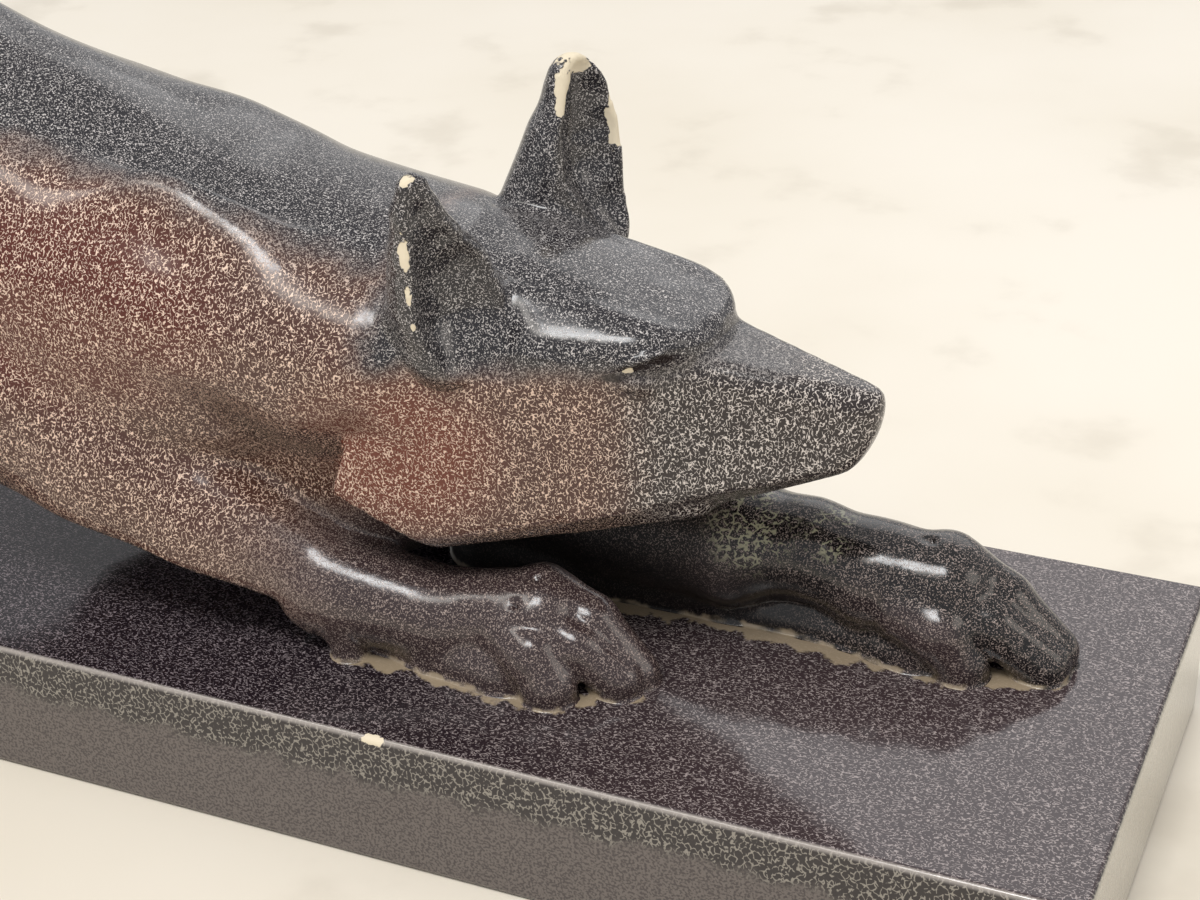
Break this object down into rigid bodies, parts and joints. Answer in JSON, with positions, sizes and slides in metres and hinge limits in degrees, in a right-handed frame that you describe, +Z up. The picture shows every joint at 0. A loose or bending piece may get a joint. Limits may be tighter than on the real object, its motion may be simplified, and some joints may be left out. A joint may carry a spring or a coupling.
{
  "type": "fox figurine",
  "caption": "Crouching fox figurine in dark speckled glaze, cast in one with its long plinth: forelegs stretched flat, head low over them, hindquarters raised",
  "frame": {"origin": "the centre of the plinth's underside, on the surface that the figurine stands on", "axes": "+X from tail to nose along the plinth, +Y to the fox's left, +Z up"},
  "size_m": [0.62, 0.143, 0.2341],
  "materials": {
    "glaze": "glossy speckled glaze on earthenware"
  },
  "bodies": {
    "root": {"fox_and_plinth": "glaze"}
  },
  "joints": []
}
